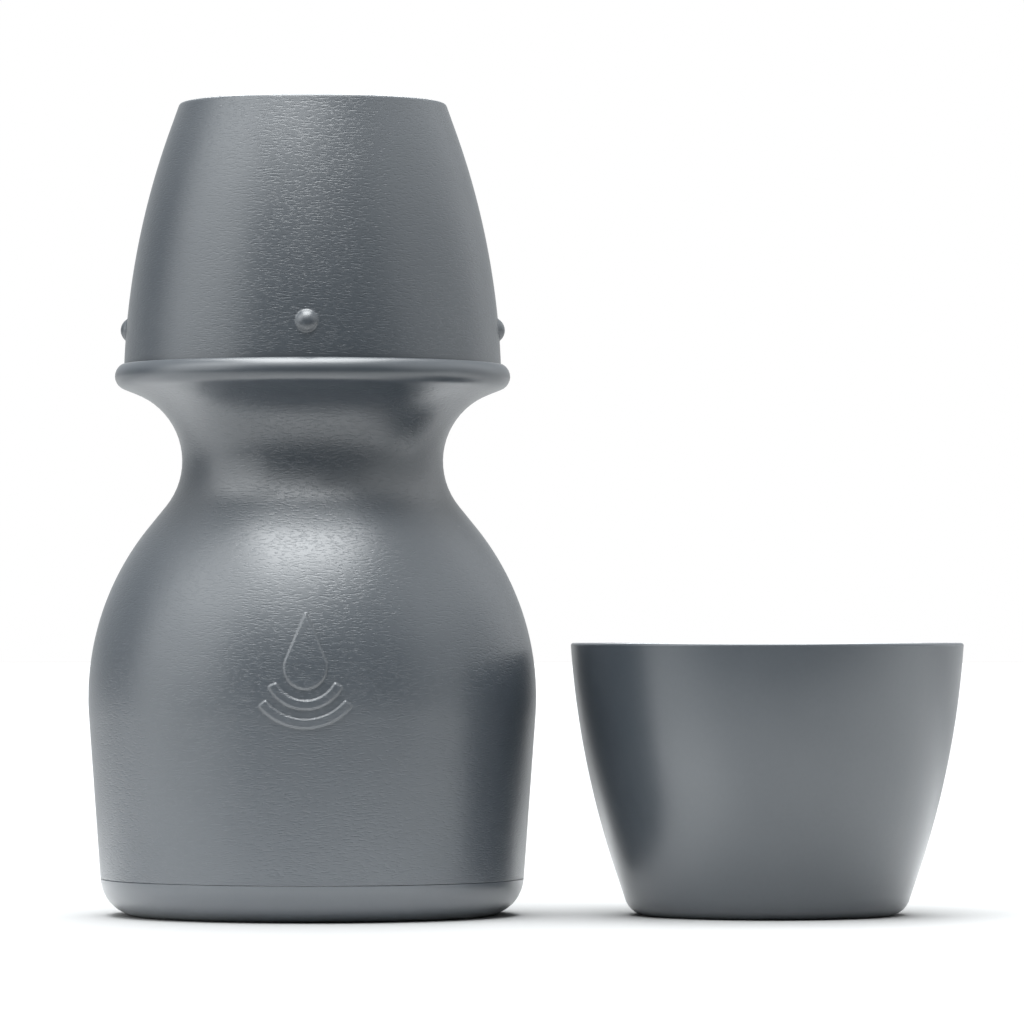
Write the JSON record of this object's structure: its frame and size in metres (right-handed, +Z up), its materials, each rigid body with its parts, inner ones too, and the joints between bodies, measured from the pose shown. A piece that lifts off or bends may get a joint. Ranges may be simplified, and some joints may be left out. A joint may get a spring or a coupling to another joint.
{
  "type": "water carafe with tumblers",
  "caption": "Waisted bedside water carafe with a beaded mouth, an upturned tumbler seated in it as its cover, and a loose drinking tumbler.",
  "frame": {"origin": "centre of the carafe's standing ring, on the table", "axes": "+Z up along the carafe's axis, -Y towards the raised mark, +X towards the loose tumbler"},
  "size_m": [0.2186, 0.1123, 0.2027],
  "materials": {
    "grained_plastic": "satin with a fine crosswise grain",
    "smooth_plastic": "smooth satin"
  },
  "bodies": {
    "carafe": {"carafe_body": "grained_plastic", "carafe_base": "smooth_plastic"},
    "cover": {"cover_tumbler": "grained_plastic"},
    "loose_tumbler": {"tumbler": "smooth_plastic"}
  },
  "joints": [
    {"name": "cover_lift", "type": "slide", "parent": "carafe", "child": "cover", "axis": [0, 0, 1], "range_m": [0, 0.022]},
    {"name": "tumbler_lift", "type": "slide", "parent": "carafe", "child": "loose_tumbler", "axis": [0, 0, 1], "range_m": [0, 0.1]}
  ]
}
